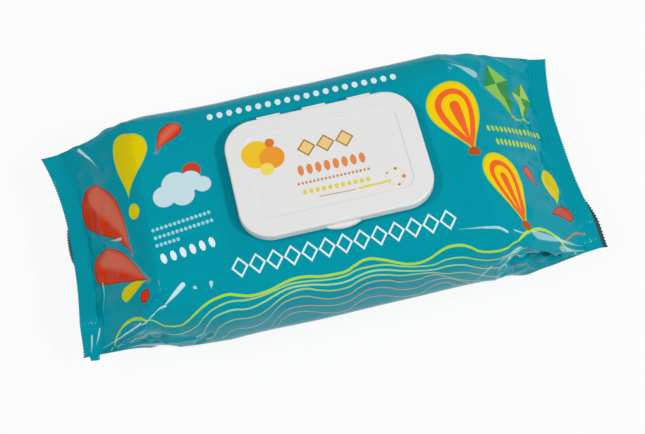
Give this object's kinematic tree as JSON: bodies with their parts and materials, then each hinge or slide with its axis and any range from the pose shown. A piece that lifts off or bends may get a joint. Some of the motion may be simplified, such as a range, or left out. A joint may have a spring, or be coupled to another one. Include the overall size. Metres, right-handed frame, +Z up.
{
  "type": "wet wipes pack",
  "caption": "Pillow-shaped film pack of wet wipes, crimped across both ends, with a moulded flip-top lid hinged over the dispensing opening.",
  "frame": {"origin": "centre of the overall box on the ground, under the pack", "axes": "+X along the pack, +Y from the thumb tab to the hinge of the lid, +Z up"},
  "size_m": [0.2752, 0.12, 0.0666],
  "materials": {
    "film": "turquoise printed laminate film, glossy",
    "label": "white peel-off film label, glossy",
    "closure": "white moulded polypropylene, satin"
  },
  "bodies": {
    "pack": {"film_pack": "film", "seal_label": "label", "lid_frame": "closure"},
    "lid": {"flip_lid": "closure"}
  },
  "joints": [
    {"name": "lid_hinge", "type": "hinge", "parent": "pack", "child": "lid", "pos_m": [0.00535, 0.0337, 0.06165], "axis": [-1, 0, 0], "range_deg": [0, 110]}
  ]
}
